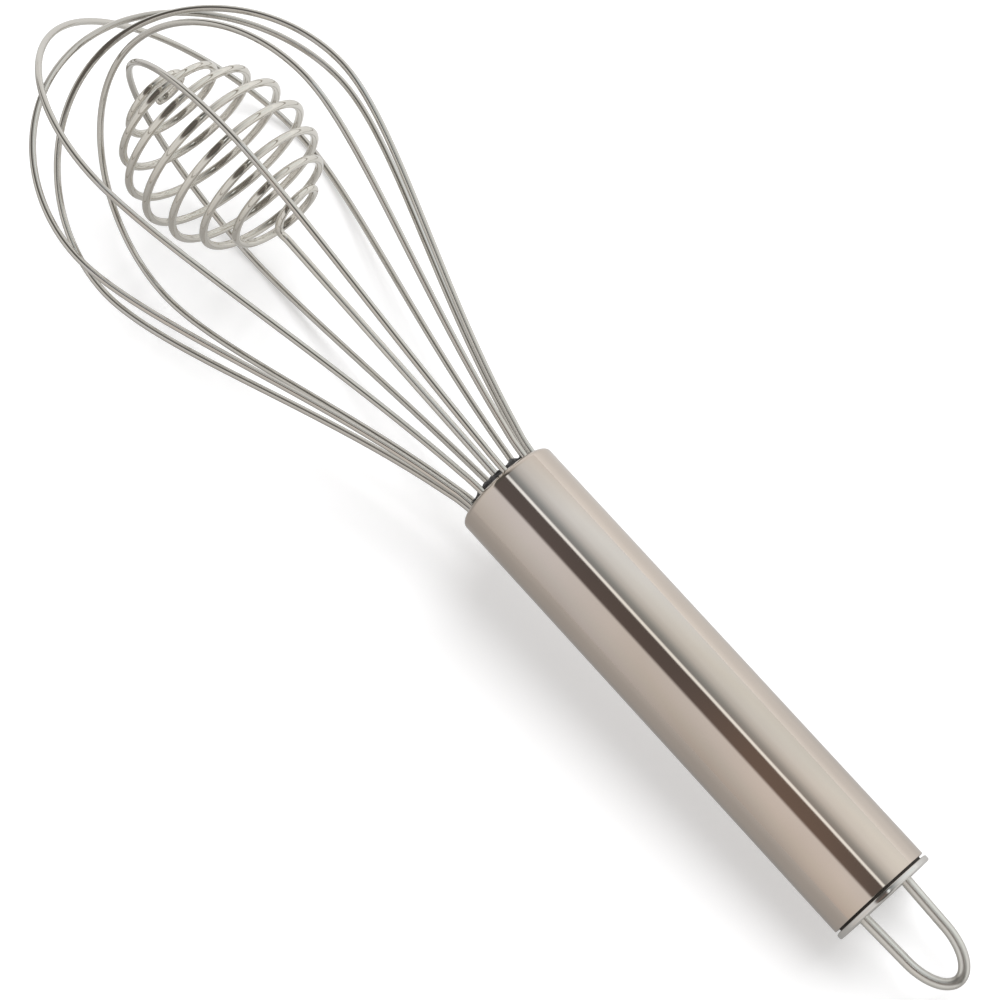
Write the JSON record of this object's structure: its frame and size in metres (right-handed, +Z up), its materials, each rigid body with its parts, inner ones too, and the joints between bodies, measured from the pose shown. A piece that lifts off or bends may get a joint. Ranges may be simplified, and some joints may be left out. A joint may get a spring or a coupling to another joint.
{
  "type": "aerator whisk",
  "caption": "Balloon whisk with a round tube handle, nested bent-wire loops, a hang loop, and a spiral wire ball that sways on a springy stem inside the balloon.",
  "frame": {"origin": "on the table, under the middle of the whole whisk's bounding box", "axes": "+X along the whisk towards the tip of the balloon, +Z up, as it rests on a table on the rim of its end cap and two of its wires"},
  "size_m": [0.292, 0.076, 0.0708],
  "materials": {
    "handle_steel": "satin polished stainless steel, slightly warm",
    "wire_steel": "drawn stainless wire, polished",
    "cap_steel": "pressed stainless steel, bright",
    "plug_black": "dark sealing compound",
    "resin_grey": "cast resin"
  },
  "bodies": {
    "whisk": {"handle_tube": "handle_steel", "head_plug": "plug_black", "resin_core": "resin_grey", "balloon_wire_1": "wire_steel", "balloon_wire_2": "wire_steel", "balloon_wire_3": "wire_steel", "balloon_wire_4": "wire_steel", "balloon_wire_5": "wire_steel", "end_cap": "cap_steel", "hang_loop": "wire_steel"},
    "ball": {"aerator_ball": "wire_steel"}
  },
  "joints": [
    {"name": "ball_sway", "type": "hinge", "parent": "whisk", "child": "ball", "pos_m": [-0.00171, 0, 0.02482], "axis": [-0.101, 0.0502, 0.9936], "range_deg": [-6, 6], "stiffness_Nm_per_rad": 4.4}
  ]
}
